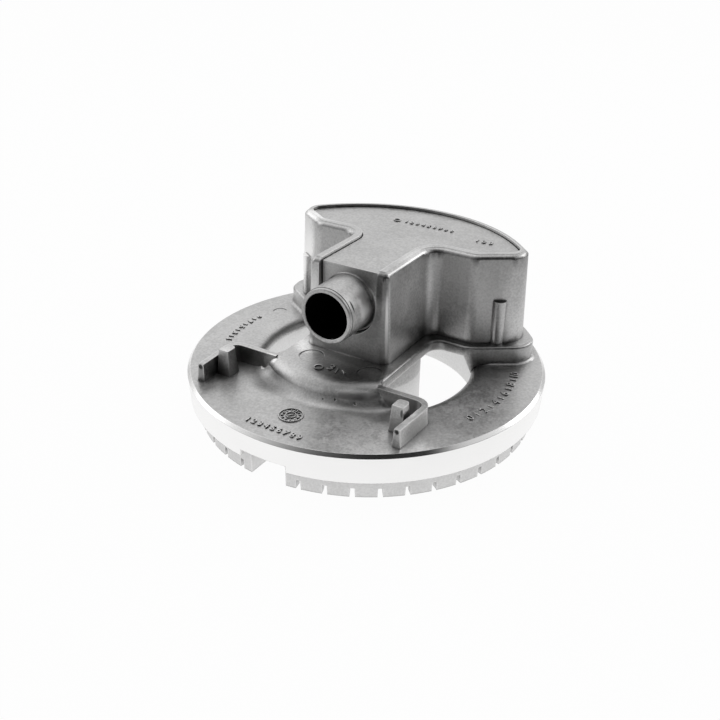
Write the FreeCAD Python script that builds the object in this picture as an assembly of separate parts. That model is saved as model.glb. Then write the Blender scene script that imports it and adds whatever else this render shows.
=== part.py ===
import FreeCAD, Part
import os
from math import asin, cos, degrees, radians, sin, sqrt, tan

"""Base of a triple crown gas burner, upside down on the tips of its crowns.

Millimetres. The origin is the disc's axis in the plane of the crown tips, +Z is up
and the inlet tube points along -Y. The body is one die casting; the cover of its
mixing chamber, cast in one with the inlet tube, is a second piece.
"""

Vector = FreeCAD.Vector
UP = Vector(0, 0, 1)

# Disc and its turned rim band
disc_diameter = 130.0
disc_face_height = 18.0
disc_plate = 3.5
rim_chamfer = 1.1
rim_band_height = 9.4
rim_band_draft = 3.2
inner_edge_round = 4.4

# Outer crown with its flame slots
crown_inset = 3.5
crown_wall = 3.0
slot_count = 42
slot_width = 1.9
slot_top_width = 1.4
slot_depth = 3.3
slot_first_angle = 10.5

# Wall of the inner crown, round the air gap
air_gap_diameter = 77.0
inner_wall = 2.4
inner_wall_draft = 7.0
inner_wall_setback = 1.8

# Centre crown
centre_crown_diameter = 40.0
centre_crown_wall = 2.6
centre_slot_count = 18
centre_slot_width = 1.6
centre_slot_depth = 3.0

# Pocket for the electrode, under the inlet tube
notch_width = 13.6
notch_length = 11.5
notch_height = 10.0
notch_wall = 2.4
band_notch_width = 18.0

# Deck that carries the chamber: pedestal at the rear, hub at the front
deck_height = 25.0
deck_plate = 3.8
deck_edge = 1.0
pedestal_foot = 1.4
deck_neck_half = 20.6
deck_front_y = -13.0
deck_wing_y = 13.6
deck_corner = 5.0
deck_end_lip = 8.2
deck_arc_lip = 4.2
deck_end_corner = 9.0
hub_flat_radius = 30.5
hub_shoulder = 7.0
hub_slope = 65.0
hub_foot = 5.0
hub_foot_facets = 3
hub_corner = 4.5
hub_duct_half = 9.2
hub_duct_wall = 2.6
hub_duct_floor = 5.0
hub_duct_ceiling = 15.5

# Plan of the chamber cover
cover_neck_half = 11.1
cover_front_y = -11.9
cover_wing_y = 22.2
cover_neck_corner = 10.0
cover_end_azimuth = 34.2
cover_arc_inset = 9.4
cover_arc_y = -2.65
cover_front_corner = 0.3
cover_wing_corner = 2.0
cover_end_corner = 4.0
cover_height = 57.2
cover_thickness = 2.6
cover_gap = 0.3
tongue_thickness = 2.6

# Walls of the mixing chamber
rim_height = 58.3
rim_shoulder = 1.7
wall_side = 4.4
wall_end = 3.6
wall_arc = 3.2
wall_front = 1.7
wall_front_corner = 2.0
wall_draft = 2.0
wall_end_corner = 7.5
cover_ledge = 0.9
cavity_front_corner = 1.5
floor_height = 23.5
end_rib_radius = 2.6
end_rib_height = 41.5
end_rib_distance = 46.8
end_rib_out = 1.4

# Inlet tube
tube_axis_height = 44.65
tube_mouth_y = -27.2
tube_bore = 16.3
tube_mouth_diameter = 19.6
tube_diameter = 20.0
tube_root_flare = 0.7
tube_mouth_chamfer = 0.4
tube_lip_length = 1.3

# Brackets on the disc
bracket_height = 24.4
bracket_top_width = 2.2
bracket_foot_width = 3.2
bracket_start_x = 20.5
bracket_cross_y = -26.9
bracket_side_x = 39.8
bracket_end_x = 38.7
bracket_rim_gap = 4.4
bracket_corner = 4.2
post_height = 27.5
post_width = 4.1
post_front_y = -39.2
post_length = 4.7
post_gap = 2.0
post_corner = 1.4
post_draft = 4.0

disc_radius = disc_diameter / 2
crown_radius = disc_radius - crown_inset
cover_arc_radius = disc_radius - cover_arc_inset
bracket_end_y = -sqrt((disc_radius - bracket_rim_gap) ** 2 - bracket_end_x ** 2)
channel_ceiling = disc_face_height - disc_plate
deck_underside = deck_height - deck_plate
chamber_front_y = cover_front_y + tongue_thickness + cover_gap
gap_foot = air_gap_diameter / 2 + (channel_ceiling - inner_wall_setback) * tan(radians(inner_wall_draft))
channel_inner = gap_foot + inner_wall

TINY = 0.01
OVER = 1.0


def polar(radius, angle):
    return Vector(radius * cos(radians(angle)), radius * sin(radians(angle)), 0)


def revolve(points):
    """Solid of revolution about Z of a closed (radius, height) outline."""
    corners = [Vector(r, 0, z) for r, z in points]
    wire = Part.makePolygon(corners + corners[:1])
    return Part.Face(wire).revolve(Vector(), UP, 360)


def box(x0, x1, y0, y1, z0, z1):
    return Part.makeBox(x1 - x0, y1 - y0, z1 - z0, Vector(x0, y0, z0))


def mirrored(shape):
    return shape.mirror(Vector(), Vector(1, 0, 0))


def corner_arc(before, corner, after, radius):
    """Tangent points and mid point of the arc that rounds a corner between two lines."""
    to_before = (before - corner).normalize()
    to_after = (after - corner).normalize()
    half = to_before.getAngle(to_after) / 2
    reach = radius / tan(half)
    middle = (to_before + to_after).normalize()
    centre = corner + middle * (radius / sin(half))
    return corner + to_before * reach, centre - middle * radius, corner + to_after * reach


def fan_wire(height, neck, front, wing, end_shift, arc, corners):
    """Closed plan of the chamber: a neck, two wings with radial ends and a rear arc.

    neck is the half width, front and wing the Y of those edges, end_shift the
    distance of the end walls from the radial lines, arc the radius of the rear, and
    corners the radii at the front, where neck meets wing, at the wing and at the end.
    """
    front_corner, neck_corner, wing_corner, end_corner = corners
    along = polar(1, cover_end_azimuth)
    outward = Vector(along.y, -along.x, 0)
    start = outward * end_shift
    wing_point = start + along * ((wing - start.y) / along.y)
    arc_centre = Vector(0, cover_arc_y, 0)
    # centre of the round that joins the end wall to the arc
    inside = start - outward * end_corner - arc_centre
    b = inside.dot(along)
    c = inside.dot(inside) - (arc - end_corner) ** 2
    round_centre = arc_centre + inside + along * (sqrt(b * b - c) - b)
    to_arc = (round_centre - arc_centre).normalize()
    on_wall = round_centre + outward * end_corner
    on_arc = arc_centre + to_arc * arc
    round_mid = round_centre + (outward + to_arc).normalize() * end_corner
    points = [Vector(neck, front, 0), Vector(neck, wing, 0), wing_point]
    first = corner_arc(Vector(0, front, 0), points[0], points[1], front_corner)
    second = corner_arc(points[0], points[1], points[2], neck_corner)
    third = corner_arc(points[1], points[2], on_wall, wing_corner)
    steps = [("line", Vector(0, front, 0), first[0]), ("arc", *first),
             ("line", first[2], second[0]), ("arc", *second),
             ("line", second[2], third[0]), ("arc", *third),
             ("line", third[2], on_wall), ("arc", on_wall, round_mid, on_arc),
             ("arc", on_arc, arc_centre + polar(arc, (90 + degrees(asin(to_arc.y))) / 2),
              arc_centre + Vector(0, arc, 0))]
    edges = []
    for kind, *ends in steps:
        if kind == "line":
            edges.append(Part.LineSegment(*ends).toShape())
        else:
            edges.append(Part.Arc(*ends).toShape())
    wire = Part.Wire(edges + [mirrored(edge) for edge in reversed(edges)])
    wire.translate(Vector(0, 0, height))
    return wire


def cover_wire(height, grow):
    """Plan of the cover, moved outward by grow all round."""
    return fan_wire(height, cover_neck_half + grow, cover_front_y, cover_wing_y - grow, grow,
                    cover_arc_radius + grow,
                    (cover_front_corner, cover_neck_corner - grow,
                     cover_wing_corner + grow, cover_end_corner + grow))


def wall_wire(height, extra=0.0):
    """Outer plan of the chamber walls at a height, with their draft."""
    lean = (rim_height - height) * tan(radians(wall_draft)) + extra
    side = wall_side + lean
    return fan_wire(height, cover_neck_half + side, cover_front_y - wall_front - lean,
                    cover_wing_y - side, wall_end + lean, cover_arc_radius + wall_arc + lean,
                    (wall_front_corner + lean, cover_neck_corner - side,
                     cover_wing_corner + side, wall_end_corner + lean))


def prism(wire, depth):
    return Part.Face(wire).extrude(Vector(0, 0, depth))


def make_ring():
    """Disc, rim band, outer crown and the wall of the inner crown, in one section."""
    radius = disc_radius
    band_top = disc_face_height - rim_chamfer
    band_foot = band_top - rim_band_height
    band_low = radius - rim_band_height * tan(radians(rim_band_draft))
    crown = crown_radius
    gap = air_gap_diameter / 2
    section = [(radius - rim_chamfer, disc_face_height), (radius, band_top), (band_low, band_foot),
               (crown, band_foot), (crown, 0), (crown - crown_wall, 0),
               (crown - crown_wall, channel_ceiling), (channel_inner, channel_ceiling),
               (channel_inner, inner_wall_setback), (gap_foot, inner_wall_setback),
               (gap, channel_ceiling)]
    for turn in (radians(30), radians(60), radians(90)):
        section.append((gap + inner_edge_round * (1 - cos(turn)), channel_ceiling + disc_plate * sin(turn)))
    return revolve(section)


def radial_slot(width, top_width, depth, outer, inner, angle):
    """Tool that cuts one flame slot, a little narrower at its closed end."""
    section = Part.makePolygon([Vector(inner, -width / 2, -OVER), Vector(inner, width / 2, -OVER),
                                Vector(inner, top_width / 2, depth), Vector(inner, -top_width / 2, depth),
                                Vector(inner, -width / 2, -OVER)])
    tool = Part.Face(section).extrude(Vector(outer - inner, 0, 0))
    return tool.rotate(Vector(), UP, angle)


def crown_slots():
    """Slots of the outer crown, evenly spaced from one side of the pocket to the other."""
    outer = crown_radius + OVER
    inner = crown_radius - crown_wall - OVER
    pitch = (360 - 2 * slot_first_angle) / (slot_count - 1)
    angles = [-90 + slot_first_angle + pitch * i for i in range(slot_count)]
    return [radial_slot(slot_width, slot_top_width, slot_depth, outer, inner, a) for a in angles]


def centre_slots():
    outer = centre_crown_diameter / 2 + OVER
    inner = centre_crown_diameter / 2 - centre_crown_wall - OVER
    pitch = 360 / centre_slot_count
    angles = [pitch * (i + 0.5) for i in range(centre_slot_count)]
    return [radial_slot(centre_slot_width, centre_slot_width, centre_slot_depth, outer, inner, a) for a in angles]


def make_centre_crown():
    outer = centre_crown_diameter / 2
    return Part.makeCylinder(outer, deck_underside + OVER)


def deck_wire(height):
    side = deck_end_lip
    return fan_wire(height, deck_neck_half, deck_front_y, deck_wing_y, side,
                    cover_arc_radius + wall_arc + deck_arc_lip,
                    (deck_corner, deck_corner, cover_wing_corner + side, deck_end_corner))


def hub_profile():
    """Closed outline of the hub in the XZ plane: flat, shoulder, slope and hollow foot."""
    slope = radians(hub_slope)
    start = Vector(hub_flat_radius, 0, deck_height)
    centre = start - UP * hub_shoulder
    middle = centre + Vector(sin(slope / 2), 0, cos(slope / 2)) * hub_shoulder
    end = centre + Vector(sin(slope), 0, cos(slope)) * hub_shoulder
    fall = Vector(cos(slope), 0, -sin(slope))
    foot = end + fall * ((end.z - disc_face_height) / sin(slope))
    hollow = foot + Vector(hub_foot * tan(slope / 2), 0, hub_foot)
    steps = [slope * part / hub_foot_facets for part in range(hub_foot_facets, -1, -1)]
    hollow_foot = [hollow - Vector(sin(turn), 0, cos(turn)) * hub_foot for turn in steps]
    skirt = Vector(hollow.x + inner_edge_round, 0, disc_face_height)
    corners = [end] + hollow_foot + [skirt, skirt - UP * OVER,
               Vector(air_gap_diameter / 2 + inner_wall / 2, 0, channel_ceiling),
               Vector(0, 0, channel_ceiling), Vector(0, 0, deck_height), start]
    edges = [Part.LineSegment(a, b).toShape() for a, b in zip(corners, corners[1:])]
    return Part.Wire(edges + [Part.Arc(start, middle, end).toShape()])


def make_hub():
    """Front hub: a flat dome of revolution, trimmed along the air openings and under the brackets."""
    dome = Part.Face(hub_profile()).revolve(Vector(), UP, 360)
    corner = Vector(deck_neck_half, bracket_cross_y, 0)
    far = corner + Vector(disc_diameter, 0, 0)
    above = Vector(deck_neck_half, 0, 0)
    arc = corner_arc(above, corner, far, hub_corner)
    front = Vector(0, -disc_diameter, 0)
    outline = [Part.LineSegment(Vector(), above), Part.LineSegment(above, arc[0]), Part.Arc(*arc),
               Part.LineSegment(arc[2], far), Part.LineSegment(far, Vector(far.x, front.y, 0)),
               Part.LineSegment(Vector(far.x, front.y, 0), front), Part.LineSegment(front, Vector())]
    half = prism(Part.Wire([line.toShape() for line in outline]), deck_height)
    return dome.common(bevel_top(half.fuse(mirrored(half)).removeSplitter()))


def sharp_edges(shape, low, high, least_turn=25):
    """Edges between two heights at which the two faces turn by more than least_turn."""
    found = []
    for edge in shape.Edges:
        bounds = edge.BoundBox
        if bounds.ZMin < low or bounds.ZMax > high:
            continue
        point = edge.valueAt((edge.FirstParameter + edge.LastParameter) / 2)
        faces = shape.ancestorsOfType(edge, Part.Face)
        if len(faces) != 2:
            continue
        normals = [face.normalAt(*face.Surface.parameter(point)) for face in faces]
        if degrees(normals[0].getAngle(normals[1])) > least_turn:
            found.append(edge)
    return found


def bevel_top(block):
    """Chamfers the edges round the top of a straight block."""
    top = [edge for edge in block.Edges if edge.BoundBox.ZMin > deck_height - TINY]
    return block.makeChamfer(deck_edge, top).Solids[0]


def make_deck():
    """Deck with its bevelled edge: pedestal, side strips and hub as one plate."""
    plate = prism(deck_wire(channel_ceiling), deck_height - channel_ceiling)
    return bevel_top(plate).fuse(make_hub())


def air_gap():
    """Space between centre crown and inner crown, up to the underside of the deck."""
    centre = centre_crown_diameter / 2
    gap = air_gap_diameter / 2
    gap_end = gap + (channel_ceiling + OVER) * tan(radians(inner_wall_draft))
    slope_run = (deck_underside - channel_ceiling) / tan(radians(hub_slope))
    return revolve([(centre, -OVER), (gap_end, -OVER), (gap, channel_ceiling),
                    (gap - slope_run, deck_underside), (centre, deck_underside)])


def make_chamber_walls():
    """Solid block of the chamber with drafted sides; the cavity is cut later."""
    block = Part.makeLoft([wall_wire(deck_height - deck_edge), wall_wire(rim_height)], True, True)
    rim = [e for e in block.Edges if e.BoundBox.ZMin > rim_height - TINY]
    return block.makeChamfer(rim_shoulder, rim).Solids[0]


def cavity_wire(height):
    """Plan of the chamber's inside, one ledge smaller than the cover."""
    return fan_wire(height, cover_neck_half - cover_ledge, chamber_front_y, cover_wing_y + cover_ledge,
                    -cover_ledge, cover_arc_radius - cover_ledge,
                    (cavity_front_corner, cover_neck_corner + cover_ledge,
                     cover_wing_corner, cover_end_corner))


def chamber_cavity():
    """Cavity, cover seat, tongue slot and the passages down into the crowns."""
    ledge_height = cover_height - cover_thickness
    room = prism(cavity_wire(floor_height), rim_height - floor_height + OVER)
    seat = prism(cover_wire(ledge_height, cover_gap), rim_height - ledge_height + OVER)
    slot_half = cover_neck_half + cover_gap
    slot_back = chamber_front_y
    slot_front = cover_front_y - wall_front - OVER - (rim_height - floor_height) * tan(radians(wall_draft))
    slot = box(-slot_half, slot_half, slot_front, slot_back, tube_axis_height, rim_height + OVER)
    round_end = Part.makeCylinder(slot_half, slot_back - slot_front, Vector(0, slot_front, tube_axis_height),
                                  Vector(0, 1, 0))
    return room.fuse([seat, slot, round_end])


def crown_passages():
    """Ways from the chamber into the centre crown, the rear and the front of the ring."""
    centre_inner = centre_crown_diameter / 2 - centre_crown_wall
    ring_outer = crown_radius - crown_wall
    below = prism(cavity_wire(channel_ceiling - OVER), floor_height - channel_ceiling + 2 * OVER)
    core = Part.makeCylinder(centre_inner, rim_height)
    annulus = Part.makeCylinder(ring_outer - OVER, rim_height).cut(
        Part.makeCylinder(channel_inner + OVER, rim_height))
    cup = Part.makeCylinder(centre_inner, deck_underside + OVER, Vector(0, 0, -OVER))
    duct = box(-hub_duct_half, hub_duct_half, -channel_inner - OVER, -centre_inner + OVER,
               hub_duct_floor + hub_duct_wall, hub_duct_ceiling)
    return [cup, below.common(annulus), below.common(core), duct]


def duct_shell():
    """Floor and sides of the front duct, which crosses the air gap below the hub."""
    half = hub_duct_half + hub_duct_wall
    return air_gap().common(box(-half, half, -disc_radius, 0, hub_duct_floor, deck_height))


def electrode_pocket():
    """Walls of the pocket inside the ring channel, and the space that is cut."""
    crown = crown_radius
    inner_end = -(crown - notch_length)
    half = notch_width / 2
    walls = box(-half - notch_wall, half + notch_wall, -crown + crown_wall / 2, inner_end + notch_wall, 0,
                channel_ceiling + TINY)
    space = box(-half, half, -disc_diameter, inner_end, -OVER, notch_height)
    band_half = band_notch_width / 2
    band = box(-band_half, band_half, -disc_diameter, -crown - TINY, -OVER, notch_height)
    return walls, space.fuse(band)


def make_bracket():
    """Right bracket: an L-shaped drafted wall with a post inside its corner."""
    half_gap = (bracket_foot_width - bracket_top_width) / 2
    base = disc_face_height - disc_plate / 2

    def outline(height, half):
        slope = (bracket_side_x - bracket_end_x) / (bracket_cross_y - bracket_end_y)
        corner = Vector(bracket_side_x, bracket_cross_y, 0)
        start = Vector(bracket_start_x, bracket_cross_y, 0)
        end = Vector(bracket_end_x, bracket_end_y - half + bracket_top_width / 2, 0)
        across = Vector(1, -slope, 0).normalize() * half
        outer = corner_arc(start + Vector(0, half, 0), corner + Vector(half, half, 0), end + across,
                           bracket_corner + half)
        inner = corner_arc(end - across, corner - Vector(half, half, 0), start - Vector(0, half, 0),
                           bracket_corner - half)
        shapes = [Part.LineSegment(start + Vector(0, half, 0), outer[0]), Part.Arc(*outer),
                  Part.LineSegment(outer[2], end + across), Part.LineSegment(end + across, end - across),
                  Part.LineSegment(end - across, inner[0]), Part.Arc(*inner),
                  Part.LineSegment(inner[2], start - Vector(0, half, 0)),
                  Part.LineSegment(start - Vector(0, half, 0), start + Vector(0, half, 0))]
        wire = Part.Wire([s.toShape() for s in shapes])
        wire.translate(Vector(0, 0, height))
        return wire

    wall = Part.makeLoft([outline(base, bracket_top_width / 2 + half_gap),
                          outline(bracket_height, bracket_top_width / 2)], True, True)
    return wall.fuse(make_post(base)).removeSplitter()


def make_post(base):
    """Drafted post inside the right bracket, clear of both its walls, rounded at the back."""
    centre = Vector(bracket_side_x - bracket_top_width / 2 - post_gap - post_width / 2,
                    post_front_y + post_length / 2, 0)

    def outline(height):
        lean = (post_height - height) * tan(radians(post_draft))
        half = Vector(post_width / 2 + lean, 0, 0)
        reach = Vector(0, post_length / 2 + lean, 0)
        right = corner_arc(centre + half - reach, centre + half + reach, centre + reach, post_corner)
        left = corner_arc(centre + reach, centre - half + reach, centre - half - reach, post_corner)
        front = [centre - half - reach, centre + half - reach]
        edges = [Part.LineSegment(front[0], front[1]), Part.LineSegment(front[1], right[0]), Part.Arc(*right),
                 Part.LineSegment(right[2], left[0]), Part.Arc(*left), Part.LineSegment(left[2], front[0])]
        wire = Part.Wire([edge.toShape() for edge in edges])
        wire.translate(Vector(0, 0, height))
        return wire

    return Part.makeLoft([outline(base), outline(post_height)], True, True)


def end_rib():
    """Half-round rib on the right end wall of the chamber."""
    lean = (rim_height - deck_height) * tan(radians(wall_draft))
    along = polar(1, cover_end_azimuth)
    outward = Vector(along.y, -along.x, 0)
    shift = wall_end + lean + end_rib_out - end_rib_radius
    foot = along * end_rib_distance + outward * shift + Vector(0, 0, deck_height - OVER)
    return Part.makeCylinder(end_rib_radius, end_rib_height - deck_height + OVER, foot)


def foot_edges(shape, height, least_radius, most_radius):
    """Edges at which the pedestal's side meets the disc's face."""
    found = []
    for edge in sharp_edges(shape, height - TINY, height + TINY):
        middle = edge.valueAt((edge.FirstParameter + edge.LastParameter) / 2)
        radius = sqrt(middle.x ** 2 + middle.y ** 2)
        if least_radius < radius < most_radius and middle.y > 0:
            found.append(edge)
    return found


def make_body():
    """The one-piece casting."""
    walls, pocket = electrode_pocket()
    ring = make_ring().fuse(walls)
    deck = make_deck()
    body = ring.fuse(deck).removeSplitter().Solids[0]
    flat_start = air_gap_diameter / 2 + inner_edge_round
    feet = foot_edges(body, disc_face_height, flat_start, disc_radius - rim_chamfer - TINY)
    body = body.makeChamfer(pedestal_foot, feet).Solids[0]
    body = body.cut(air_gap())
    body = body.fuse([make_centre_crown(), duct_shell()])
    chamber = make_chamber_walls()
    bracket = make_bracket()
    rib = end_rib()
    body = body.fuse([chamber, bracket, mirrored(bracket), rib, mirrored(rib)])
    body = body.cut([chamber_cavity(), pocket] + crown_passages() + crown_slots() + centre_slots())
    return body.removeSplitter().Solids[0]


def make_cover():
    """Cover plate with its tongue in the front wall and the inlet tube."""
    plate = prism(cover_wire(cover_height - cover_thickness, 0.0), cover_thickness)
    half = cover_neck_half
    back = cover_front_y + tongue_thickness
    tongue = box(-half, half, cover_front_y, back, tube_axis_height, cover_height)
    round_end = Part.makeCylinder(half, tongue_thickness, Vector(0, cover_front_y, tube_axis_height),
                                  Vector(0, 1, 0))
    length = cover_front_y - tube_mouth_y
    mouth_centre = Vector(0, tube_mouth_y, tube_axis_height)
    tube = Part.makeCylinder(tube_diameter / 2, length - tube_lip_length,
                             mouth_centre + Vector(0, tube_lip_length, 0), Vector(0, 1, 0))
    lip = Part.makeCylinder(tube_mouth_diameter / 2, tube_lip_length, mouth_centre, Vector(0, 1, 0))
    bore = Part.makeCylinder(tube_bore / 2, back - tube_mouth_y + 2 * OVER,
                             Vector(0, tube_mouth_y - OVER, tube_axis_height), Vector(0, 1, 0))
    solid = plate.fuse([tongue, round_end, tube, lip]).removeSplitter().cut(bore).Solids[0]
    root = [e for e in sharp_edges(solid, 0, cover_height)
            if abs(e.BoundBox.YMax - cover_front_y) < TINY
            and abs(e.BoundBox.XMax - tube_diameter / 2) < TINY]
    solid = solid.makeChamfer(tube_root_flare, root).Solids[0]
    mouth = [e for e in solid.Edges if e.BoundBox.YMax < tube_mouth_y + TINY]
    return solid.makeChamfer(tube_mouth_chamfer, mouth).Solids[0]


os.makedirs("parts", exist_ok=True)
nodes = {"burner_body": make_body(), "chamber_cover": make_cover()}
for name, shape in nodes.items():
    shape.exportStep("parts/" + name + ".step")
    print(name, shape.ShapeType, len(shape.Solids), shape.isValid(), round(shape.Volume))
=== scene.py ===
"""Scene of a cast triple crown burner base that stands upside down on its crown.

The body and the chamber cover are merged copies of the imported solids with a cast
aluminium finish. Raised casting marks are pieces of their own on top of them.
The scene is in metres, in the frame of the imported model. Where a class holds sizes in
millimetres, its docstring says so.
"""

import logging
import math
from dataclasses import dataclass
from enum import Enum
from typing import Any, Iterable, Mapping, Sequence

import bmesh
import bpy
from mathutils import Matrix, Vector

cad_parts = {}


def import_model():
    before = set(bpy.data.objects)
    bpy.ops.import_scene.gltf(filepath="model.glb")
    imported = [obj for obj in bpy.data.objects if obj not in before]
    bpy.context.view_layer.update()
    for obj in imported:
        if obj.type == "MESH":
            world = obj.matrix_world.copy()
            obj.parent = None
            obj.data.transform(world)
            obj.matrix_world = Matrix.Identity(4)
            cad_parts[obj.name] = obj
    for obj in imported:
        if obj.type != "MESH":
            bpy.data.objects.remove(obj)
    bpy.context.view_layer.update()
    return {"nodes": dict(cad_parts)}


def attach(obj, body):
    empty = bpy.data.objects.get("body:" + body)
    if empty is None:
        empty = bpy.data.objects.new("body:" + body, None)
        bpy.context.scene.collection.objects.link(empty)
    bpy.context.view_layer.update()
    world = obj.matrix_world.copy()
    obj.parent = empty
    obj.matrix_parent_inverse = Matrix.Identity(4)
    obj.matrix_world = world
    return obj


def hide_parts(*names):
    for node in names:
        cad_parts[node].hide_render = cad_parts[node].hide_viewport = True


LOG = logging.getLogger("burner_base")
MM = 0.001
OCCLUSION_SAMPLES = 8
BEVEL_SAMPLES = 6
BODY_NODE = "burner_body"
COVER_NODE = "chamber_cover"


class CastSlot(Enum):
    """Names of the material slots in the record; here they only pick which of the two finishes a piece
    takes.
    """

    BODY = "cast_body"
    COVER = "cast_cover"


class Level(Enum):
    """Heights, in mm, of the flat surfaces that carry casting marks."""

    DISC = 18.0
    DECK = 25.0
    COVER = 57.2


class Wire:
    """A node socket that takes part in Python arithmetic."""

    def __init__(self, graph: "Graph", socket: bpy.types.NodeSocket) -> None:
        """Wraps a socket of a graph."""
        self.graph = graph
        self.socket = socket

    def sibling(self, key: int | str) -> "Wire":
        """Another output of the same node, by name or index."""
        return Wire(self.graph, self.socket.node.outputs[key])

    def math(self, operation: str, *others: "Wire | float") -> "Wire":
        """Adds a Math node that starts from this wire.

        Args:
            operation: name of the Math node's operation.
            others: the other operands, wires or numbers.

        Returns:
            The wire of the result.
        """
        values = {0: self, **{i + 1: other for i, other in enumerate(others)}}
        return self.graph.add("ShaderNodeMath", {"operation": operation}, values)

    def __add__(self, other: "Wire | float") -> "Wire":
        """Sum."""
        return self.math("ADD", other)

    __radd__ = __add__

    def __sub__(self, other: "Wire | float") -> "Wire":
        """Difference."""
        return self.math("SUBTRACT", other)

    def __rsub__(self, other: float) -> "Wire":
        """Difference from a number."""
        return self.math("MULTIPLY_ADD", -1.0, other)

    def __mul__(self, other: "Wire | float") -> "Wire":
        """Product."""
        return self.math("MULTIPLY", other)

    __rmul__ = __mul__

    def __pow__(self, other: float) -> "Wire":
        """Power."""
        return self.math("POWER", other)

    def rise(self, low: float, high: float) -> "Wire":
        """Adds a smooth step.

        Args:
            low: value at which the step is 0.
            high: value at which the step is 1, above or below low.

        Returns:
            The wire of the step.
        """
        step = self.graph.add("ShaderNodeMapRange", {"interpolation_type": "SMOOTHSTEP", "clamp": True},
                              {"Value": self, "From Min": min(low, high), "From Max": max(low, high)})
        return step if low < high else 1 - step

    def band(self, low: float, high: float, edge: float) -> "Wire":
        """1 between low and high, 0 outside, over soft edges of a given width."""
        return self.rise(low - edge, low + edge) * self.rise(high + edge, high - edge)


class Graph:
    """Node tree of a material or the world, emptied and filled from code."""

    def __init__(self, tree: bpy.types.NodeTree) -> None:
        """Takes over a tree and empties it."""
        self.tree = tree
        tree.nodes.clear()

    def add(self, kind: str, settings: Mapping[str, Any] | None = None,
            inputs: Mapping[int | str, Any] | None = None, output: int | str = 0) -> Wire:
        """Adds a node.

        Args:
            kind: type of the node.
            settings: attributes, set before the sockets.
            inputs: wires or values by socket name or index.
            output: name or index of the socket that is returned.

        Returns:
            The wire of that output.
        """
        node = self.tree.nodes.new(kind)
        for name, value in (settings or {}).items():
            setattr(node, name, value)
        for key, value in (inputs or {}).items():
            target = node.inputs[key]
            if isinstance(value, Wire):
                self.tree.links.new(value.socket, target)
            else:
                target.default_value = value
        return Wire(self, node.outputs[output]) if node.outputs else Wire(self, node.inputs[0])

    def place(self) -> tuple[Wire, Wire, Wire, Wire]:
        """Object coordinates.

        Returns:
            The vector and its X, Y and Z, in metres.
        """
        vector = self.add("ShaderNodeTexCoord", output="Object")
        split = self.add("ShaderNodeSeparateXYZ", inputs={0: vector})
        return vector, *(split.sibling(axis) for axis in ("X", "Y", "Z"))

    def noise(self, vector: Wire, size: float, detail: float = 2.0, roughness: float = 0.5,
              seed: float = 0.0) -> Wire:
        """Fractal noise.

        Args:
            vector: coordinates in metres.
            size: size of the coarsest blotch, in mm.
            detail: number of finer octaves.
            roughness: strength of the finer octaves.
            seed: picks another pattern of the same kind.

        Returns:
            A value about 0.5.
        """
        return self.add("ShaderNodeTexNoise", {"noise_dimensions": "4D"},
                        {"Vector": vector, "W": seed, "Scale": 1000.0 / size, "Detail": detail,
                         "Roughness": roughness})

    def occlusion(self, distance: float, local: bool = False, inside: bool = False) -> Wire:
        """Openness of the surface.

        Args:
            distance: reach in mm.
            local: whether only the piece itself counts.
            inside: whether it looks into the solid, which finds its edges.

        Returns:
            1 in the open, less in hollows, or near edges where it looks inside.
        """
        settings = {"samples": OCCLUSION_SAMPLES, "only_local": local or inside, "inside": inside}
        return self.add("ShaderNodeAmbientOcclusion", settings, {"Distance": distance * MM}, output="AO")

    def seen_and_mirrored(self) -> tuple[Wire, Wire]:
        """Tells apart the rays that reach a surface.

        Returns:
            Two masks: what the camera sees, and what a reflection or glass shows.
        """
        camera = self.add("ShaderNodeLightPath", output="Is Camera Ray")
        glossy, through = camera.sibling("Is Glossy Ray"), camera.sibling("Is Transmission Ray")
        return camera, glossy.math("MAXIMUM", through)

    def along(self, vector: Wire, direction: Sequence[float]) -> Wire:
        """Length of a vector along a direction."""
        return self.add("ShaderNodeVectorMath", {"operation": "DOT_PRODUCT"}, {0: vector, 1: direction},
                        output="Value")

    def blend(self, factor: Wire | float, first: Any, second: Any) -> Wire:
        """Colour mix from first to second by a factor."""
        return self.add("ShaderNodeMix", {"data_type": "RGBA"}, {0: factor, 6: first, 7: second}, output=2)


def grey(value: float, warmth: float = 0.0) -> tuple[float, float, float, float]:
    """Opaque grey colour, a little warmer or cooler."""
    return (value * (1 + warmth), value, value * (1 - warmth), 1.0)


@dataclass(frozen=True)
class Stain:
    """Soft blob of painted light or painted shade on the casting skin.

    Place and reach are in mm, along X, Y and Z. The gain multiplies the tone of the
    skin, above 1 as painted light and below 1 as painted shade, or is the strength of a
    painted highlight. Inside the core, a share of the squared reach, the blob is full.
    """

    at: tuple[float, float, float]
    reach: tuple[float, float, float]
    gain: float
    core: float = 0.15

    def mask(self, place: Sequence[Wire]) -> Wire:
        """Builds the blob.

        Args:
            place: wires of X, Y and Z in metres.

        Returns:
            1 in the middle, 0 beyond the reach.
        """
        parts = [(axis - at * MM) * (1.0 / (reach * MM))
                 for axis, at, reach in zip(place, self.at, self.reach)]
        return sum((part * part for part in parts[1:]), parts[0] * parts[0]).rise(1.0, self.core)


@dataclass
class Skin:
    """Wires of a surface that the layers of a finish change in turn."""

    shade: Wire
    rough: Wire
    height: Wire

    def tint(self, factor: Wire, tone: Wire | float) -> None:
        """Mixes the shade toward a tone by a factor."""
        self.shade = self.shade + (tone - self.shade) * factor


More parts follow.
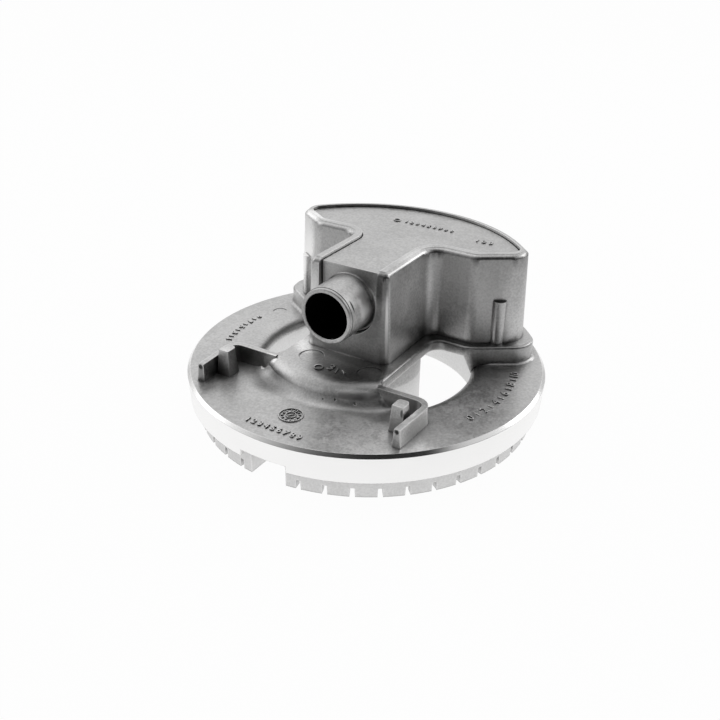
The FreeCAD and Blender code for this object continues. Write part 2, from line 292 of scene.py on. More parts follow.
@dataclass(frozen=True)
class CastAluminium:
    """Finish of die-cast aluminium, with a turned rim band, a bore painted near black as shade, and painted
    light and shade on its skin.

    Sizes and places are in mm. Tones run from 0 for black to 1 for white.
    """

    name: str
    light: float = 0.61
    dark: float = 0.44
    hollow: float = 9.0
    hollow_tone: float = 0.7
    crease: float = 1.1
    crease_tone: float = 0.25
    edge: float = 0.7
    edge_light: float = 0.4
    edge_tone: float = 0.9
    palest: float = 0.98
    warmth: float = 0.004
    soot: float = 0.006
    metallic: float = 1.0
    roughness: float = 0.38
    roughest: float = 0.95
    grain: float = 0.8
    grain_share: float = 2.2
    grain_depth: float = 0.04
    mottle: float = 3.2
    mottle_share: float = 1.1
    mottle_depth: float = 0.03
    patch: float = 19.0
    patch_share: float = 0.8
    soft_edge: float = 0.25
    seed: float = 0.0
    turned: bool = True
    turned_radius: float = 61.9
    turned_low: float = 7.35
    turned_pitch: float = 0.16
    turned_depth: float = 0.0012
    turned_tone: float = 0.9
    turned_roughness: float = 0.2
    rim_radius: float = 63.87
    rim_height: float = 17.5
    crown_height: float = 7.4
    crown_light: float = 0.3
    pale_tone: float = 0.95
    inner_light: float = 0.4
    inner_radius: float = 43.0
    inner_height: float = 14.4
    stains: tuple[Stain, ...] = ()
    glints: tuple[Stain, ...] = ()
    pins: tuple[tuple[float, float, float], ...] = ()
    pin_flats: tuple[float, float] = (17.5, 25.2)
    pin_sink: float = 0.05
    pin_line: float = 0.3
    pin_groove: float = 0.15
    pits: tuple[tuple[float, float, float, float], ...] = ()
    pit_depth: float = 0.3
    pit_tone: float = 0.05
    bore_radius: float = 8.3
    bore_height: float = 44.65
    bore_end: float = -9.0
    neck_side: float = 11.4
    neck_span: tuple[float, float] = (-10.6, 30.0)
    neck_heights: tuple[float, float] = (20.0, 54.6)

    def build(self) -> bpy.types.Material:
        """Builds the material from its layers.

        Returns:
            The new material.
        """
        material = bpy.data.materials.new(self.name)
        material.use_nodes = True
        graph = Graph(material.node_tree)
        vector, *place = graph.place()
        fine = graph.noise(vector, self.grain, 3.0, 0.6, self.seed)
        patch = graph.noise(vector, self.patch, 2.0, 0.5, self.seed + 7)
        skin = self.raw_skin(graph, vector, fine, patch)
        # Blobs of painted light and painted shade multiply the skin's tone.
        for shading_blob in self.stains:
            skin.shade = skin.shade * (shading_blob.mask(place) * (shading_blob.gain - 1.0) + 1.0)
        self.weather(graph, skin)
        # Painted highlights mix the tone toward the palest.
        for highlight_blob in self.glints:
            skin.tint(highlight_blob.mask(place) * highlight_blob.gain, self.palest)
        self.stamp(skin, place)
        self.pit(skin, place, fine)
        if self.turned:
            self.turn(graph, skin, vector, place, patch)
        colour = graph.blend(skin.shade.math("MINIMUM", self.palest), grey(0.0), grey(1.0, self.warmth))
        bevel = graph.add("ShaderNodeBevel", {"samples": BEVEL_SAMPLES}, {"Radius": self.soft_edge * MM})
        bump = graph.add("ShaderNodeBump", {}, {"Strength": 1.0, "Distance": MM, "Height": skin.height,
                                                "Normal": bevel})
        metal = graph.add("ShaderNodeBsdfPrincipled", {},
                          {"Base Color": colour, "Metallic": self.metallic,
                           "Roughness": skin.rough.math("MINIMUM", self.roughest), "Normal": bump})
        # Near-black painted shade for the insides of the tube and the neck.
        soot = graph.add("ShaderNodeBsdfPrincipled", {},
                         {"Base Color": grey(self.soot), "Roughness": 1.0, "Specular IOR Level": 0.0})
        mix = graph.add("ShaderNodeMixShader", {}, {0: self.bore(place), 1: metal, 2: soot})
        graph.add("ShaderNodeOutputMaterial", {}, {"Surface": mix})
        return material

    def raw_skin(self, graph: Graph, vector: Wire, fine: Wire, patch: Wire) -> Skin:
        """Bare casting skin: fine grain, mottling and large soft patches.

        Args:
            graph: the material's graph.
            vector: coordinates in metres.
            fine: noise of the grain.
            patch: noise of the large patches.

        Returns:
            The skin that the other layers start from.
        """
        mottle = graph.noise(vector, self.mottle, 4.0, 0.62, self.seed + 3)
        tone = ((mottle - 0.5) * self.mottle_share + (patch - 0.5) * self.patch_share
                + (fine - 0.5) * self.grain_share + 0.5)
        return Skin(tone.rise(0.0, 1.0) * (self.light - self.dark) + self.dark,
                    (mottle - 0.5) * 0.25 + (fine - 0.5) * 0.2 + self.roughness,
                    (fine - 0.5) * self.grain_depth + (mottle - 0.5) * self.mottle_depth)

    def weather(self, graph: Graph, skin: Skin) -> None:
        """Lighter convex edges, partly wear and partly painted highlight, and painted shade in hollows and
        creases.

        Args:
            graph: the material's graph.
            skin: the skin so far.
        """
        # Convex edges lightened, partly as wear and partly as a painted highlight.
        wear_and_highlight = graph.occlusion(self.edge, inside=True)
        skin.tint(wear_and_highlight.rise(0.95, 0.55) * self.edge_light, self.edge_tone)
        # Painted shade in hollows.
        hollow = graph.occlusion(self.hollow, local=True)
        skin.tint(hollow.rise(0.95, 0.25), self.dark * self.hollow_tone)
        # Painted shade in creases and where parts meet.
        crease = graph.occlusion(self.crease)
        skin.tint(crease.rise(0.85, 0.35), self.dark * self.crease_tone)

    def stamp(self, skin: Skin, place: Sequence[Wire]) -> None:
        """Round sunk marks of the ejector pins on the flat tops, with a groove and painted shade along their
        back left side.

        Args:
            skin: the skin so far.
            place: wires of X, Y and Z in metres.
        """
        x, y, z = place
        low, high = self.pin_flats
        flat = z.band(low * MM, high * MM, 0.1 * MM)
        for px, py, size in self.pins:
            right, ahead = x - px * MM, y - py * MM
            away = (right * right + ahead * ahead) ** 0.5
            # Back left side of the ring, which gets painted shade along its groove.
            side = (ahead * 0.75 - right * 0.66).rise(0.0, 0.6 * size * MM) * flat
            sunk = away.rise((size + 0.1) * MM, (size - 0.1) * MM) * flat
            skin.height = skin.height - sunk * self.pin_sink
            line = away.band((size - self.pin_line) * MM, (size + self.pin_line) * MM, 0.15 * MM) * side
            skin.height = skin.height - line * self.pin_groove
            # Painted shade along the groove on that side.
            skin.tint(line * 0.9, self.dark * 0.15)

    def pit(self, skin: Skin, place: Sequence[Wire], fine: Wire) -> None:
        """Small ragged holes and chips, sunk by bump and painted dark inside as shade.

        Args:
            skin: the skin so far.
            place: wires of X, Y and Z in metres.
            fine: noise of the grain, which makes the rims ragged.
        """
        for *at, size in self.pits:
            parts = [axis - value * MM for axis, value in zip(place, at)]
            away = (parts[0] * parts[0] + parts[1] * parts[1] + parts[2] * parts[2]) ** 0.5
            hole = (away + (fine - 0.5) * 0.9 * MM).rise(size * MM, size * 0.45 * MM)
            skin.height = skin.height - hole * self.pit_depth
            # Painted shade inside the hole.
            skin.tint(hole, self.pit_tone)

    def turn(self, graph: Graph, skin: Skin, vector: Wire, place: Sequence[Wire],
             patch: Wire) -> None:
        """Painted light from the bright floor on the crown and the inner walls, and the turned band with its
        fine lines.

        Args:
            graph: the material's graph.
            skin: the skin so far.
            vector: coordinates in metres.
            place: wires of X, Y and Z in metres.
            patch: noise that makes the lines a little uneven.
        """
        x, y, z = place
        radius = (x * x + y * y) ** 0.5
        # Painted light from the bright floor on the crown and on the inner walls near it.
        low = z.rise((self.crown_height + 0.2) * MM, (self.crown_height - 0.2) * MM) * self.crown_light
        inner = (radius.rise((self.inner_radius + 0.3) * MM, (self.inner_radius - 0.3) * MM)
                 * z.rise((self.inner_height + 0.4) * MM, (self.inner_height - 0.4) * MM) * self.inner_light)
        skin.tint(low.math("MAXIMUM", inner), self.pale_tone)
        band = (radius.rise((self.turned_radius - 0.05) * MM, (self.turned_radius + 0.05) * MM)
                * z.rise((self.turned_low - 0.05) * MM, (self.turned_low + 0.05) * MM))
        outside = radius.rise((self.rim_radius - 0.05) * MM, (self.rim_radius + 0.05) * MM)
        below = z.rise((self.rim_height + 0.1) * MM, (self.rim_height - 0.1) * MM)
        turned = band * outside.math("MAXIMUM", below)
        lines = (z * (math.tau / (self.turned_pitch * MM)) + (patch - 0.5) * 3.0).math("SINE")
        drift = graph.noise(vector, 9.0, 1.0, 0.4, self.seed + 11)
        skin.tint(turned, drift * 0.05 + self.turned_tone)
        skin.rough = skin.rough + turned * ((drift - 0.5) * 0.1 + self.turned_roughness - skin.rough)
        skin.height = skin.height * (1 - turned) + turned * lines * self.turned_depth

    def bore(self, place: Sequence[Wire]) -> Wire:
        """Finds the insides of the inlet tube and the chamber's neck, which are painted near black as shade.

        Args:
            place: wires of X, Y and Z in metres.

        Returns:
            1 inside them, 0 elsewhere.
        """
        x, y, z = place
        away = z - self.bore_height * MM
        tube = ((x * x + away * away) ** 0.5).rise(self.bore_radius * MM, (self.bore_radius - 0.1) * MM)
        tube = tube * y.rise((self.bore_end + 0.2) * MM, (self.bore_end - 0.2) * MM)
        spans = ((-self.neck_side, self.neck_side), self.neck_span, self.neck_heights)
        across, along, upright = (axis.band(low * MM, high * MM, 0.1 * MM)
                                  for axis, (low, high) in zip(place, spans))
        return tube.math("MAXIMUM", across * along * upright)


@dataclass(frozen=True)
class PalePaper:
    """Matt white of the studio floor, plain white to the camera outside the shadow.

    The metal mirrors it as white near the part and dimmer further out. Distances are in
    metres.
    """

    name: str = "pale_floor"
    tone: float = 0.93
    roughness: float = 0.9
    shown: float = 0.97
    mirrored_near: float = 1.0
    mirrored_far: float = 0.5
    near: float = 0.1
    far: float = 0.26
    middle: tuple[float, float] = (-0.04, 0.02)

    def build(self) -> bpy.types.Material:
        """Builds the material.

        Returns:
            The new material.
        """
        material = bpy.data.materials.new(self.name)
        material.use_nodes = True
        graph = Graph(material.node_tree)
        paper = graph.add("ShaderNodeBsdfPrincipled", {},
                          {"Base Color": grey(self.tone), "Roughness": self.roughness})
        x, y = graph.place()[1:3]
        along, across = x - self.middle[0], y - self.middle[1]
        distance = (along * along + across * across) ** 0.5
        closeness = distance.rise(self.far, self.near)
        dim = closeness * (self.mirrored_near - self.mirrored_far) + self.mirrored_far
        camera, mirrored = graph.seen_and_mirrored()
        colour = graph.blend(1.0 - (1 - dim) * mirrored, grey(0.0), grey(1.0))
        white = graph.add("ShaderNodeEmission", {}, {"Color": colour, "Strength": 1.0})
        shown = camera.math("MAXIMUM", mirrored) * self.shown
        mix = graph.add("ShaderNodeMixShader", {}, {0: shown, 1: paper, 2: white})
        graph.add("ShaderNodeOutputMaterial", {}, {"Surface": mix})
        return material


def object_from(mesh: bmesh.types.BMesh, name: str) -> bpy.types.Object:
    """Makes an object at the origin from a bmesh.

    Args:
        mesh: the finished bmesh, freed here.
        name: name of the piece.

    Returns:
        The new object, linked to the scene.
    """
    data = bpy.data.meshes.new(name)
    mesh.to_mesh(data)
    mesh.free()
    piece = bpy.data.objects.new(name, data)
    bpy.context.scene.collection.objects.link(piece)
    return piece


def dress(piece: bpy.types.Object, material: bpy.types.Material) -> bpy.types.Object:
    """Gives a piece its material and its body.

    Args:
        piece: the finished piece.
        material: its only material.

    Returns:
        The same piece.
    """
    piece.data.materials.clear()
    piece.data.materials.append(material)
    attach(piece, "root")
    LOG.info("%s: %d faces", piece.name, len(piece.data.polygons))
    return piece


@dataclass
class CastShell:
    """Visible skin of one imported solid: a merged copy with smooth round faces.

    Angles are in degrees and the radius of the crisp turned rim is in mm.
    """

    node: str
    name: str
    slot: CastSlot
    flat_angle: float = 0.4
    smooth_angle: float = 50.0
    crisp_angle: float = 34.0
    crisp_radius: float = 60.0
    normal_weight: int = 80

    def build(self, source: bpy.types.Object) -> bpy.types.Object:
        """Copies the node's mesh, merges it and shades its round faces smooth.

        Args:
            source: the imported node's object.

        Returns:
            The new piece.
        """
        mesh = bmesh.new()
        mesh.from_mesh(source.data)
        bmesh.ops.remove_doubles(mesh, verts=mesh.verts, dist=1e-6)
        bmesh.ops.dissolve_limit(mesh, angle_limit=math.radians(self.flat_angle), verts=mesh.verts,
                                 edges=mesh.edges, delimit={"NORMAL"})
        bmesh.ops.recalc_face_normals(mesh, faces=mesh.faces)
        for face in mesh.faces:
            face.smooth = True
        for edge in mesh.edges:
            crisp = edge.verts[0].co.xy.length > self.crisp_radius * MM
            limit = math.radians(self.crisp_angle if crisp else self.smooth_angle)
            edge.smooth = edge.is_manifold and edge.calc_face_angle(0.0) < limit
        piece = object_from(mesh, self.name)
        weighted = piece.modifiers.new("weighted", "WEIGHTED_NORMAL")
        weighted.keep_sharp = True
        weighted.weight = self.normal_weight
        return piece

    def dress(self, piece: bpy.types.Object, material: bpy.types.Material) -> None:
        """Gives the skin its finish and puts it in the node's stead."""
        dress(piece, material)
        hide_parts(self.node)


@dataclass
class RaisedMarks:
    """Casting marks in low relief, gathered in one mesh.

    Sizes are in mm. The relief starts just below the surface that carries it.
    """

    name: str
    level: Level
    slot: CastSlot = CastSlot.BODY
    relief: float = 0.4
    sunk: float = 0.1
    edge: float = 0.07
    edge_steps: int = 2
    ring_steps: int = 48
    figure_scale: float = 1.35
    figure_edge: float = 0.03

    def __post_init__(self) -> None:
        """Starts the empty mesh."""
        self.mesh = bmesh.new()

    def spot(self, x: float, y: float, turn: float = 0.0) -> Matrix:
        """Place on the carrying surface, turned about Z by an angle in radians."""
        height = self.level.value - self.sunk
        return Matrix.Translation(Vector((x, y, height)) * MM) @ Matrix.Rotation(turn, 4, "Z")

    def bar(self, x: float, y: float, turn: float, width: float, length: float) -> None:
        """Adds a bevelled bar, long across the given direction.

        Args:
            x: place of its middle.
            y: place of its middle.
            turn: direction of the row, in radians.
            width: size along the row.
            length: size across the row.
        """
        thick = self.relief + self.sunk
        size = Matrix.Diagonal((width * MM, length * MM, thick * MM, 1.0))
        made = bmesh.ops.create_cube(self.mesh, size=1.0, matrix=self.spot(x, y, turn)
                                     @ Matrix.Translation((0, 0, thick * MM / 2)) @ size)
        self.soften(made["verts"])

    def soften(self, verts: Iterable[bmesh.types.BMVert]) -> None:
        """Bevels the top edges of what was just added.

        Args:
            verts: its vertices.
        """
        top = max(v.co.z for v in verts)
        rim = dict.fromkeys(e for v in verts for e in v.link_edges
                            if all(abs(w.co.z - top) < 1e-6 for w in e.verts))
        bmesh.ops.bevel(self.mesh, geom=list(rim), offset=self.edge * MM, affect="EDGES",
                        segments=self.edge_steps, profile=0.5, material=-1)

    def ring(self, x: float, y: float, radius: float, width: float) -> None:
        """Adds a raised ring.

        Args:
            x: place of its middle.
            y: place of its middle.
            radius: radius of its middle line.
            width: width of the raised line.
        """
        thick = (self.relief + self.sunk) * MM
        start = self.spot(x, y) @ Matrix.Translation((radius * MM, 0, thick / 2))
        start = start @ Matrix.Rotation(math.pi / 2, 4, "X")
        made = bmesh.ops.create_grid(self.mesh, x_segments=1, y_segments=1, size=0.5,
                                     matrix=start @ Matrix.Diagonal((width * MM, thick, 1.0, 1.0)))
        faces = list(dict.fromkeys(f for v in made["verts"] for f in v.link_faces))
        edges = list(dict.fromkeys(e for f in faces for e in f.edges))
        bmesh.ops.spin(self.mesh, geom=faces + edges + made["verts"],
                       cent=self.spot(x, y).translation, axis=(0, 0, 1), dvec=(0, 0, 0), angle=math.tau,
                       steps=self.ring_steps, use_merge=True)

    def numeral(self, text: str, x: float, y: float, turn: float, height: float) -> None:
        """Adds one plain number.

        Args:
            text: its figures.
            x: place of its middle.
            y: place of its middle.
            turn: direction of the writing, in radians.
            height: height of the figures.
        """
        curve = bpy.data.curves.new("numeral", "FONT")
        curve.body = text
        curve.size = height * self.figure_scale * MM
        curve.align_x = "CENTER"
        curve.align_y = "CENTER"
        curve.resolution_u = 3
        curve.extrude = (self.relief + self.sunk) / 2 * MM
        curve.bevel_depth = self.figure_edge * MM
        holder = bpy.data.objects.new("numeral", curve)
        data = bpy.data.meshes.new_from_object(holder)
        lift = Matrix.Translation((0, 0, (self.relief + self.sunk) / 2 * MM))
        data.transform(self.spot(x, y, turn) @ lift)
        self.mesh.from_mesh(data)
        bpy.data.objects.remove(holder)
        bpy.data.curves.remove(curve)
        bpy.data.meshes.remove(data)

    def build(self, material: bpy.types.Material) -> bpy.types.Object:
        """Finishes the mesh and dresses it.

        Args:
            material: finish of the surface that carries the marks.

        Returns:
            The new piece.
        """
        bmesh.ops.remove_doubles(self.mesh, verts=self.mesh.verts, dist=1e-7)
        bmesh.ops.recalc_face_normals(self.mesh, faces=self.mesh.faces)
        piece = object_from(self.mesh, self.name)
        return dress(piece, material)


@dataclass(frozen=True)
class RimScale:
    """Row of plain numbers with short bars between them, along the rim.

    Angles are in degrees from the X axis, sizes in mm.
    """

    values: tuple[int, ...]
    start: float
    pitch: float
    radius: float
    height: float
    bar_width: float = 0.55
    bar_share: float = 0.75


@dataclass
class DiscMarks(RaisedMarks):
    """Marks on the disc: a dial, a row of numbers, and two scales along the rim."""

    dial: tuple[float, float] = (0.7, -48.9)
    dial_radius: float = 4.0
    dial_line: float = 0.35
    dial_inner: float = 0.42
    dial_thin: float = 0.28
    hour_bar: float = 0.9
    hour_bar_reach: float = 0.72
    hour_figure: float = 1.15
    hour_figure_reach: float = 0.7
    pointer: tuple[float, float, float] = (-0.6, 0.3, 2.1)
    row_middle: tuple[float, float] = (0.5, -58.4)
    row_figures: int = 9
    row_height: float = 2.5
    row_pitch: float = 2.5
    row_bow: float = 0.012
    row_reach: float = 10.0
    left_scale: RimScale = RimScale(tuple(range(9, 0, -1)), 174.6, 3.0, 53.6, 2.5)
    right_scale: RimScale = RimScale(tuple(range(11)), -20.5, 3.7, 54.2, 3.1)

    def build_dial(self) -> None:
        """Two rings, bars and quarter numbers as on a clock, and a pointer."""
        x, y = self.dial
        self.ring(x, y, self.dial_radius, self.dial_line)
        self.ring(x, y, self.dial_radius * self.dial_inner, self.dial_thin)
        for hour in range(12):
            turn = math.tau * hour / 12
            reach = self.dial_radius * (self.hour_bar_reach if hour % 3 else self.hour_figure_reach)
            place = (x + reach * math.sin(turn), y + reach * math.cos(turn))
            if hour % 3:
                self.bar(*place, -turn, self.dial_thin, self.hour_bar)
            else:
                self.numeral(str(hour or 12), *place, 0.0, self.hour_figure)
        self.bar(x, y, *self.pointer)

    def build_rows(self) -> None:
        """Numbers at the front in a slightly bowed row, and the scales along the rim."""
        middle, row_y = self.row_middle
        for i in range(self.row_figures):
            x = (i - self.row_figures // 2) * self.row_pitch + middle
            y = row_y - self.row_bow * (self.row_reach - abs(x))
            self.numeral(str(i + 1), x, y, 0.0, self.row_height)
        for scale in (self.left_scale, self.right_scale):
            for index, value in enumerate(scale.values):
                self.scale_mark(scale, index, value)

    def scale_mark(self, scale: RimScale, index: int, value: int) -> None:
        """Adds a number of a scale, or a short bar where the index is odd.

        Args:
            scale: the scale that it belongs to.
            index: place in the scale.
            value: number to write.
        """
        angle = math.radians(scale.start + index * scale.pitch)
        x, y = scale.radius * math.cos(angle), scale.radius * math.sin(angle)
        turn = angle + math.pi / 2
        if index % 2:
            self.bar(x, y, turn, scale.bar_width, scale.height * scale.bar_share)
        else:
            self.numeral(str(value), x, y, turn, scale.height)


@dataclass
class HubMarks(RaisedMarks):
    """Marks on the front hub: a ring, a number and two bars.

    A bar is given by its place, its turn in radians and its length.
    """

    ring_at: tuple[float, float] = (-2.6, -27.6)
    ring_radius: float = 1.5
    ring_line: float = 0.45
    figure_at: tuple[float, float] = (1.2, -25.6)
    figure_height: float = 4.0
    bars: tuple[tuple[float, float, float, float], ...] = ((4.0, -26.4, 0.2, 3.2), (6.4, -25.9, 0.9, 2.4))
    bar_width: float = 0.5

    def build_marks(self) -> None:
        """Ring, number and bars side by side."""
        self.ring(*self.ring_at, self.ring_radius, self.ring_line)
        self.numeral("3", *self.figure_at, 0.0, self.figure_height)
        for x, y, turn, length in self.bars:
            self.bar(x, y, turn, self.bar_width, length)


@dataclass
class CoverMarks(RaisedMarks):
    """Marks on the cover: a ring with a long row of numbers, and a short row at the right."""

    ring_at: tuple[float, float] = (-9.6, 38.0)
    ring_radius: float = 1.2
    ring_line: float = 0.4
    row_at: tuple[float, float] = (-5.6, 38.0)
    row_figures: int = 9
    row_pitch: float = 2.4
    row_height: float = 2.0
    side_at: tuple[float, float] = (25.8, 34.2)
    side_figures: int = 3
    side_pitch: float = 2.7
    side_turn: float = 0.1
    side_height: float = 2.4

    def build_marks(self) -> None:
        """Ring and numbers along the middle, and the numbers at the right."""
        self.ring(*self.ring_at, self.ring_radius, self.ring_line)
        x, y = self.row_at
        for i in range(self.row_figures):
            self.numeral(str(i + 1), x + i * self.row_pitch, y, 0.0, self.row_height)
        x, y = self.side_at
        for i in range(self.side_figures):
            self.numeral(str(i + 1), x + i * self.side_pitch, y, self.side_turn, self.side_height)


@dataclass(frozen=True)
class SoftLamp:
    """Square area lamp. Place and size are in metres, power in watts."""

    name: str
    place: tuple[float, float, float]
    power: float
    size: float = 0.5


@dataclass
class Studio:
    """Floor, soft lamps, world and camera. Places are in metres."""

    floor_half: float = 3.0
    lamps: tuple[SoftLamp, ...] = (SoftLamp("lamp_above", (-0.15, 0.2, 0.9), 0.4),
                                   SoftLamp("lamp_left", (-0.8, -0.1, 0.45), 0.5),
                                   SoftLamp("lamp_right", (0.55, 0.75, 0.45), 1.6))
    aimed_at: tuple[float, float, float] = (0.0, 0.0, 0.03)
    sky_back: float = 1.02
    sky_front: float = 0.01
    sky_turn: tuple[float, float, float] = (-0.78, 0.62, 0.0)
    sky_low: float = -0.58
    sky_high: float = 0.7
    sky_horizon: float = 0.6
    sky_clear: float = 0.35
    glow: float = 0.6
    glow_low: float = 0.89
    glow_high: float = 0.99
    glow_turn: tuple[float, float, float] = (0.7, 0.33, 0.63)
    camera_at: tuple[float, float, float] = (0.1428828, -0.2430222, 0.1679781)
    camera_right: tuple[float, float, float] = (0.8541494, 0.5198677, 0.0129013)
    camera_up: tuple[float, float, float] = (-0.2563122, 0.3992791, 0.8802728)
    camera_ahead: tuple[float, float, float] = (-0.4524742, 0.7551912, -0.4742925)
    lens: float = 43.324
    sensor: float = 36.0
    clip: tuple[float, float] = (0.01, 50.0)

    def floor(self) -> bpy.types.Object:
        """Makes the floor in the plane of the crown's tips.

        Returns:
            The floor's object.
        """
        mesh = bmesh.new()
        bmesh.ops.create_grid(mesh, x_segments=1, y_segments=1, size=self.floor_half)
        piece = object_from(mesh, "floor")
        piece.data.materials.append(PalePaper().build())
        return piece

    def hang(self, lamp: SoftLamp) -> None:
        """Hangs one soft lamp, aimed at the object.

        Args:
            lamp: its name, place, power and size.
        """
        light = bpy.data.lights.new(lamp.name, "AREA")
        light.shape = "RECTANGLE"
        light.size = light.size_y = lamp.size
        light.energy = lamp.power
        holder = bpy.data.objects.new(lamp.name, light)
        turn = (Vector(self.aimed_at) - Vector(lamp.place)).to_track_quat("-Z", "Y").to_matrix().to_4x4()
        holder.matrix_world = Matrix.Translation(lamp.place) @ turn
        bpy.context.scene.collection.objects.link(holder)

    def world(self) -> None:
        """White for the camera, and a sky for the metal that is bright at the back and dark ahead."""
        world = bpy.data.worlds.new("studio")
        world.use_nodes = True
        bpy.context.scene.world = world
        graph = Graph(world.node_tree)
        facing = graph.add("ShaderNodeTexCoord", output="Generated")
        back = graph.along(facing, self.sky_turn).rise(self.sky_low, self.sky_high)
        sky = back * (self.sky_back - self.sky_front) + self.sky_front
        height = graph.along(facing, (0.0, 0.0, 1.0)).rise(0.0, self.sky_clear)
        sky = sky * (height * (1.0 - self.sky_horizon) + self.sky_horizon)
        sky = sky + graph.along(facing, self.glow_turn).rise(self.glow_low, self.glow_high) * self.glow
        camera = graph.add("ShaderNodeLightPath", output="Is Camera Ray")
        light = graph.add("ShaderNodeBackground", {}, {"Color": grey(1.0), "Strength": sky})
        white = graph.add("ShaderNodeBackground", {}, {"Color": grey(1.0), "Strength": 1.0})
        mix = graph.add("ShaderNodeMixShader", {}, {0: camera, 1: light, 2: white})
        graph.add("ShaderNodeOutputWorld", {}, {"Surface": mix})

    def camera(self) -> None:
        """Sets the camera at the photograph's viewing angle."""
        data = bpy.data.cameras.new("camera")
        data.lens = self.lens
        data.sensor_width = self.sensor
        data.clip_start, data.clip_end = self.clip
        holder = bpy.data.objects.new("camera", data)
        axes = (self.camera_right, self.camera_up, [-c for c in self.camera_ahead])
        turn = Matrix(axes).transposed().to_4x4()
        holder.matrix_world = Matrix.Translation(self.camera_at) @ turn
        bpy.context.scene.collection.objects.link(holder)
        bpy.context.scene.camera = holder

    def build(self) -> None:
        """Sets up the whole studio."""
        self.floor()
        self.world()
        self.camera()
        for lamp in self.lamps:
            self.hang(lamp)
        bpy.context.scene.view_settings.view_transform = "Standard"


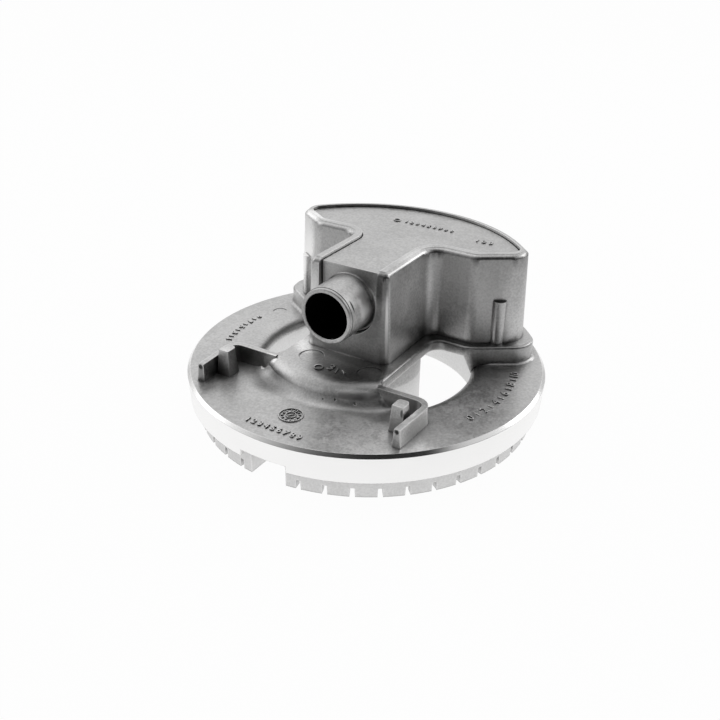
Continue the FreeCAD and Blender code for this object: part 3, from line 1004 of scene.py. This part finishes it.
def body_finish() -> CastAluminium:
    """Finish of the body, with its pin marks, pits, blobs of painted light and shade, and painted
    highlights.

    Returns:
        The finish.
    """
    pins = ((-9.3, -21.8, 4.4), (14.4, -21.8, 4.4), (-49.2, 13.9, 2.7))
    pits = ((38.7, -46.7, 23.6, 1.0), (38.8, -47.5, 18.6, 0.6), (-38.7, -46.7, 23.4, 1.0),
            (-1.3, -35.5, 20.8, 0.7), (5.3, -37.0, 19.8, 0.45), (9.4, -36.0, 20.2, 0.5),
            (16.0, -34.0, 19.6, 0.6))
    stains = (
        # Hub: top, shoulder, foot, right slope and left skirt; painted shade on top, foot and skirt, painted
        # light on shoulder and slope
        Stain((11.0, -29.0, 26.4), (22.0, 13.0, 3.6), 0.48),
        Stain((12.0, -32.0, 21.8), (26.0, 9.0, 1.7), 1.6),
        Stain((14.0, -33.5, 17.2), (24.0, 6.5, 3.6), 0.5),
        Stain((17.0, -32.0, 21.5), (12.0, 5.5, 3.2), 1.7),
        Stain((-15.0, -37.0, 20.0), (11.0, 7.0, 4.0), 0.6),
        # Deck and front wall below and beside the inlet tube: painted shade, and painted light on the deck
        # at its left
        Stain((10.0, -17.0, 25.0), (17.0, 4.0, 2.0), 0.65),
        Stain((12.8, -14.0, 54.5), (4.5, 3.0, 9.0), 0.4),
        Stain((9.0, -14.0, 42.0), (9.0, 3.0, 12.0), 0.6),
        Stain((-14.0, -14.0, 24.0), (8.0, 9.0, 4.0), 1.7),
        # Left wing of the chamber: painted light
        Stain((-36.5, 24.5, 46.0), (18.0, 6.0, 22.0), 1.9),
        # Right bracket and the disc beside it: painted light
        Stain((34.0, -41.0, 22.0), (5.0, 7.0, 10.0), 1.3),
        Stain((32.0, -49.0, 18.0), (26.0, 14.0, 1.5), 1.45),
        Stain((46.0, -8.0, 18.0), (13.0, 20.0, 1.5), 1.3),
        # Deck's edge, neck, right wing and both end walls of the chamber: painted shade on the deck's edge
        # and right wing, painted light on the neck and end walls
        Stain((25.0, 10.0, 23.5), (7.0, 9.0, 4.0), 0.75),
        Stain((14.0, 8.0, 42.0), (5.0, 20.0, 22.0), 1.6),
        Stain((33.0, 24.0, 42.0), (9.0, 5.0, 22.0), 0.7),
        Stain((45.0, 28.0, 40.0), (6.0, 8.0, 20.0), 1.2),
        Stain((-44.0, 26.0, 38.0), (8.0, 9.0, 22.0), 1.5),
        # Inner end of the left bracket, side of the pedestal, both brackets and posts: painted light, with
        # painted shade on the right bracket's outer side and the left bracket's end
        Stain((-22.5, -28.2, 22.0), (4.0, 2.0, 4.0), 1.9),
        Stain((37.0, 12.0, 22.0), (4.0, 5.0, 5.0), 1.4),
        Stain((41.0, -38.0, 21.0), (2.0, 10.0, 4.5), 0.7),
        Stain((-38.7, -47.2, 21.0), (2.6, 1.6, 6.0), 0.45),
        Stain((-34.6, -38.5, 23.0), (4.0, 4.0, 8.0), 1.35),
        Stain((38.0, -36.0, 22.0), (2.0, 4.0, 6.0), 1.5),
        # Right wing beside the neck, far left of the hub's skirt, back of the right post: painted shade
        Stain((25.0, 27.0, 43.0), (7.0, 5.0, 20.0), 0.8),
        Stain((-18.0, -36.0, 19.5), (9.0, 6.0, 4.0), 0.72),
        Stain((36.3, -39.3, 25.4), (0.7, 0.8, 1.9), 0.25),
    )
    glints = (
        # Painted highlights on the foot line and corners of the front wall, and on a nick in the chamber's
        # rim
        Stain((0.0, -14.1, 25.2), (15.5, 0.9, 0.8), 1.0),
        Stain((15.6, -13.4, 41.0), (0.8, 0.8, 19.0), 0.8),
        Stain((-13.0, -12.5, 44.0), (2.5, 3.0, 14.0), 0.6),
        Stain((-15.2, 50.3, 58.0), (0.9, 1.0, 0.7), 1.0),
    )
    return CastAluminium("cast_body_finish", pins=pins, pits=pits, stains=stains, glints=glints)


def cover_finish() -> CastAluminium:
    """Finish of the cover and its tube, which is duller and has no turned band.

    Returns:
        The finish.
    """
    stains = (
        # Tube: painted light on its side, left side and underside, and a darker mark on its lip
        Stain((11.0, -16.0, 48.0), (8.0, 6.0, 11.0), 2.3),
        Stain((7.0, -24.0, 41.0), (7.0, 7.0, 9.0), 1.4),
        Stain((0.0, -26.0, 36.0), (13.0, 2.0, 9.0), 1.5),
        Stain((9.2, -24.4, 50.2), (2.2, 0.6, 3.2), 0.1),
        # Tube plate beside the tube: painted shade
        Stain((12.0, -13.9, 51.0), (6.5, 1.2, 10.0), 0.42),
    )
    return CastAluminium("cast_cover_finish", seed=20.0, turned=False, roughness=0.45, hollow_tone=1.0,
                         stains=stains)


def main() -> None:
    """Builds the part and its studio in order."""
    logging.basicConfig(level=logging.INFO, format="%(name)s %(message)s")
    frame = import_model()
    shells = (CastShell(BODY_NODE, "casting", CastSlot.BODY), CastShell(COVER_NODE, "cover", CastSlot.COVER))
    finishes = {CastSlot.BODY: body_finish().build(), CastSlot.COVER: cover_finish().build()}
    for shell in shells:
        shell.dress(shell.build(frame["nodes"][shell.node]), finishes[shell.slot])
    disc = DiscMarks("disc_marks", Level.DISC)
    disc.build_dial()
    disc.build_rows()
    hub = HubMarks("hub_marks", Level.DECK)
    hub.build_marks()
    lid = CoverMarks("cover_marks", Level.COVER, CastSlot.COVER)
    lid.build_marks()
    for marks in (disc, hub, lid):
        marks.build(finishes[marks.slot])
    Studio().build()


if __name__ == "__main__":
    main()
